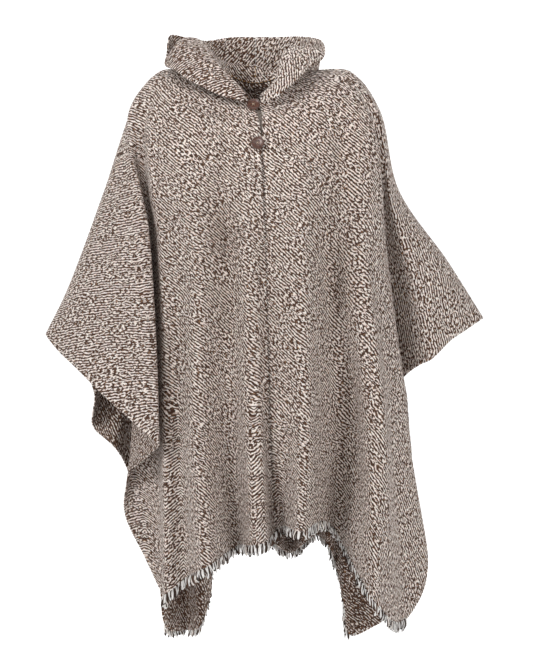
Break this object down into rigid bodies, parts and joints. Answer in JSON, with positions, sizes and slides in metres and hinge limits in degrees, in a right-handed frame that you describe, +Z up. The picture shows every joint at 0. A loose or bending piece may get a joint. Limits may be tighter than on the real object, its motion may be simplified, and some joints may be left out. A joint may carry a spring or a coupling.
{
  "type": "hooded fringed poncho",
  "caption": "Hollow hooded poncho of two joined blanket-like panels, worn pose, hood pushed back, button-closed neck slit, fringed front and back hems.",
  "frame": {"origin": "middle of the neck at shoulder height, where the wearer's shoulders hold the cloth", "axes": "+Z up, -Y towards the front of the garment, +X towards the wearer's left"},
  "size_m": [0.8765, 0.4215, 1.2643],
  "materials": {
    "panel_right_wool": "chunky marled brown and cream wool twill",
    "panel_left_wool": "chunky marled brown and cream wool twill",
    "hood_right_wool": "chunky marled brown and cream wool twill",
    "hood_left_wool": "chunky marled brown and cream wool twill",
    "placket_wool": "greyish marled wool",
    "button_upper_wood": "polished dark reddish brown shell or wood",
    "button_lower_wood": "polished dark reddish brown shell or wood",
    "fringe_front_right_wool": "soft cream and brown yarn loops",
    "fringe_front_left_wool": "soft cream and brown yarn loops",
    "fringe_back_right_wool": "soft cream and brown yarn loops",
    "fringe_back_left_wool": "soft cream and brown yarn loops"
  },
  "bodies": {
    "root": {"panel_right": "panel_right_wool", "panel_left": "panel_left_wool", "hood_right": "hood_right_wool", "hood_left": "hood_left_wool", "placket": "placket_wool", "button_upper": "button_upper_wood", "button_lower": "button_lower_wood", "fringe_front_right": "fringe_front_right_wool", "fringe_front_left": "fringe_front_left_wool", "fringe_back_right": "fringe_back_right_wool", "fringe_back_left": "fringe_back_left_wool"}
  },
  "joints": []
}
